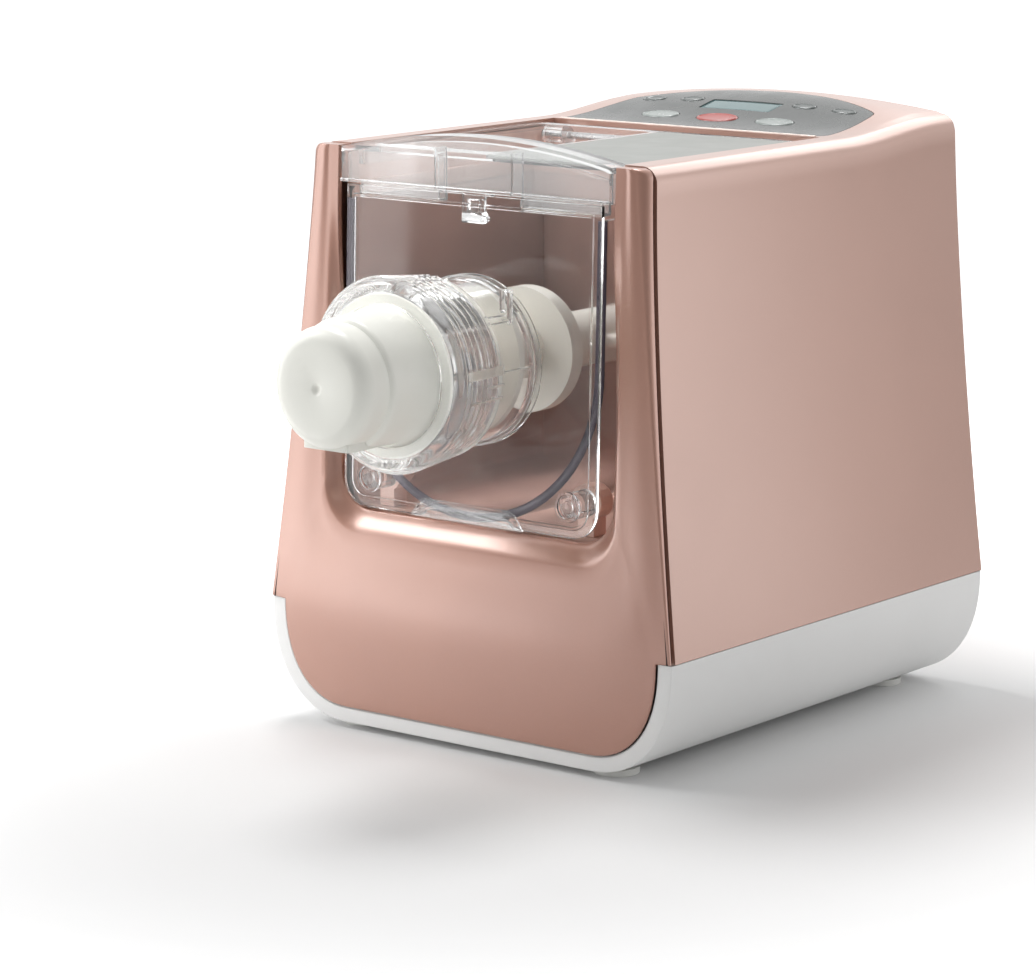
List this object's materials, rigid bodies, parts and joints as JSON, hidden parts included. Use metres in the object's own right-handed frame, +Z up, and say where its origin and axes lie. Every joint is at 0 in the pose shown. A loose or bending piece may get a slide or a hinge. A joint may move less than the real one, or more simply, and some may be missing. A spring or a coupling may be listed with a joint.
{
  "type": "electric pasta maker",
  "caption": "Counter-top electric pasta maker: motor casing on a base tray, mixing bowl with paddle and screw, clear barrel with ring nut and die, hinged clear lid, push buttons.",
  "frame": {"origin": "middle of the whole footprint, on the surface that the feet stand on", "axes": "+Z up, +Y to the machine's rear so the nozzle points to -Y, +X to the right of someone looking along +Y"},
  "size_m": [0.232, 0.356, 0.2825],
  "materials": {
    "rose_metal": "satin rose-gold metallic lacquer",
    "mauve_liner": "satin moulded plastic",
    "white_casing": "satin white moulded plastic",
    "white_die": "soft white moulded plastic",
    "clear_plastic": "clear polished plastic",
    "bowl_plastic": "smoky clear plastic",
    "grey_plastic": "moulded plastic",
    "silver_plate": "fine satin",
    "panel_glass": "glossy grey-green panel",
    "display": "teal display window",
    "steel": "turned steel",
    "rubber": "matte rubber",
    "foot_pad": "matte pale rubber",
    "red_button": "satin red",
    "nylon": "moulded nylon",
    "dark_plastic": "moulded plastic",
    "motor_steel": "zinc-plated sheet and laminations",
    "board_green": "green circuit board"
  },
  "bodies": {
    "casing": {"base_tray": "white_casing", "outer_cover": "rose_metal", "rear_panel": "rose_metal", "front_frame": "rose_metal", "foot_front_right": "foot_pad", "foot_front_left": "foot_pad", "foot_rear_right": "foot_pad", "foot_rear_left": "foot_pad", "rear_screw_low_right": "steel", "rear_screw_low_left": "steel", "rear_screw_high_right": "steel", "rear_screw_high_left": "steel", "mixing_bowl": "bowl_plastic", "well_liner": "mauve_liner", "support_rib_right": "grey_plastic", "support_rib_left": "grey_plastic", "peg_socket_right": "dark_plastic", "peg_socket_left": "dark_plastic", "shaft_seal": "rubber", "front_bearing": "steel", "rear_bearing": "steel", "middle_axle": "steel", "gear_case": "grey_plastic", "gear_case_cover": "grey_plastic", "motor_body": "motor_steel", "motor_cradle": "motor_steel", "hinge_pin": "steel", "lid_switch": "dark_plastic", "panel_glass": "panel_glass", "panel_carrier": "grey_plastic", "display_window": "display", "control_board": "board_green", "power_inlet": "dark_plastic", "power_board": "board_green"},
    "front_assembly": {"front_plate": "clear_plastic", "plate_peg_right": "clear_plastic", "plate_peg_left": "clear_plastic", "extrusion_barrel": "clear_plastic", "die_body": "white_die", "die_outlet": "white_die"},
    "nut": {"ring_nut": "clear_plastic"},
    "mixer": {"drive_shaft": "steel", "extrusion_screw": "nylon", "mixing_paddle": "nylon", "output_gear": "nylon"},
    "middle_wheel": {"middle_gear": "nylon"},
    "motor_rotor": {"motor_shaft": "steel", "motor_pinion": "nylon", "cooling_fan": "dark_plastic"},
    "lid": {"lid_frame": "clear_plastic", "lid_plate": "silver_plate", "lid_latch": "clear_plastic", "lid_magnet": "steel"},
    "button_start_body": {"button_start": "red_button"},
    "button_right_body": {"button_right": "white_casing"},
    "button_left_body": {"button_left": "white_casing"},
    "button_small_right_1_body": {"button_small_right_1": "grey_plastic"},
    "button_small_right_2_body": {"button_small_right_2": "grey_plastic"},
    "button_small_left_1_body": {"button_small_left_1": "grey_plastic"},
    "button_small_left_2_body": {"button_small_left_2": "grey_plastic"}
  },
  "joints": [
    {"name": "mixer_spin", "type": "hinge", "parent": "casing", "child": "mixer", "pos_m": [0, 0, 0.181], "axis": [0, 1, 0], "continuous": true},
    {"name": "middle_wheel_spin", "type": "hinge", "parent": "casing", "child": "middle_wheel", "pos_m": [0, 0.09, 0.134], "axis": [0, 1, 0], "continuous": true},
    {"name": "motor_spin", "type": "hinge", "parent": "casing", "child": "motor_rotor", "pos_m": [0, 0.12, 0.087], "axis": [0, 1, 0], "continuous": true},
    {"name": "front_plate_slide", "type": "slide", "parent": "casing", "child": "front_assembly", "axis": [0, -1, 0], "range_m": [0, 0.06]},
    {"name": "ring_nut_turn", "type": "hinge", "parent": "front_assembly", "child": "nut", "pos_m": [0, -0.12, 0.181], "axis": [0, -1, 0], "range_deg": [0, 60]},
    {"name": "lid_hinge", "type": "hinge", "parent": "casing", "child": "lid", "pos_m": [0, 0.0805, 0.266], "axis": [-1, 0, 0], "range_deg": [0, 85]},
    {"name": "button_start_press", "type": "slide", "parent": "casing", "child": "button_start_body", "axis": [0, 0, -1], "range_m": [0, 0.0008], "stiffness_N_per_m": 300},
    {"name": "button_right_press", "type": "slide", "parent": "casing", "child": "button_right_body", "axis": [0, 0, -1], "range_m": [0, 0.0008], "stiffness_N_per_m": 300},
    {"name": "button_left_press", "type": "slide", "parent": "casing", "child": "button_left_body", "axis": [0, 0, -1], "range_m": [0, 0.0008], "stiffness_N_per_m": 300},
    {"name": "button_small_right_1_press", "type": "slide", "parent": "casing", "child": "button_small_right_1_body", "axis": [0, 0, -1], "range_m": [0, 0.0008], "stiffness_N_per_m": 300},
    {"name": "button_small_right_2_press", "type": "slide", "parent": "casing", "child": "button_small_right_2_body", "axis": [0, 0, -1], "range_m": [0, 0.0008], "stiffness_N_per_m": 300},
    {"name": "button_small_left_1_press", "type": "slide", "parent": "casing", "child": "button_small_left_1_body", "axis": [0, 0, -1], "range_m": [0, 0.0008], "stiffness_N_per_m": 300},
    {"name": "button_small_left_2_press", "type": "slide", "parent": "casing", "child": "button_small_left_2_body", "axis": [0, 0, -1], "range_m": [0, 0.0008], "stiffness_N_per_m": 300}
  ],
  "couplings": [
    {"joint": "middle_wheel_spin", "follows": "mixer_spin", "ratio": -3.2727},
    {"joint": "motor_spin", "follows": "mixer_spin", "ratio": 12.109}
  ]
}
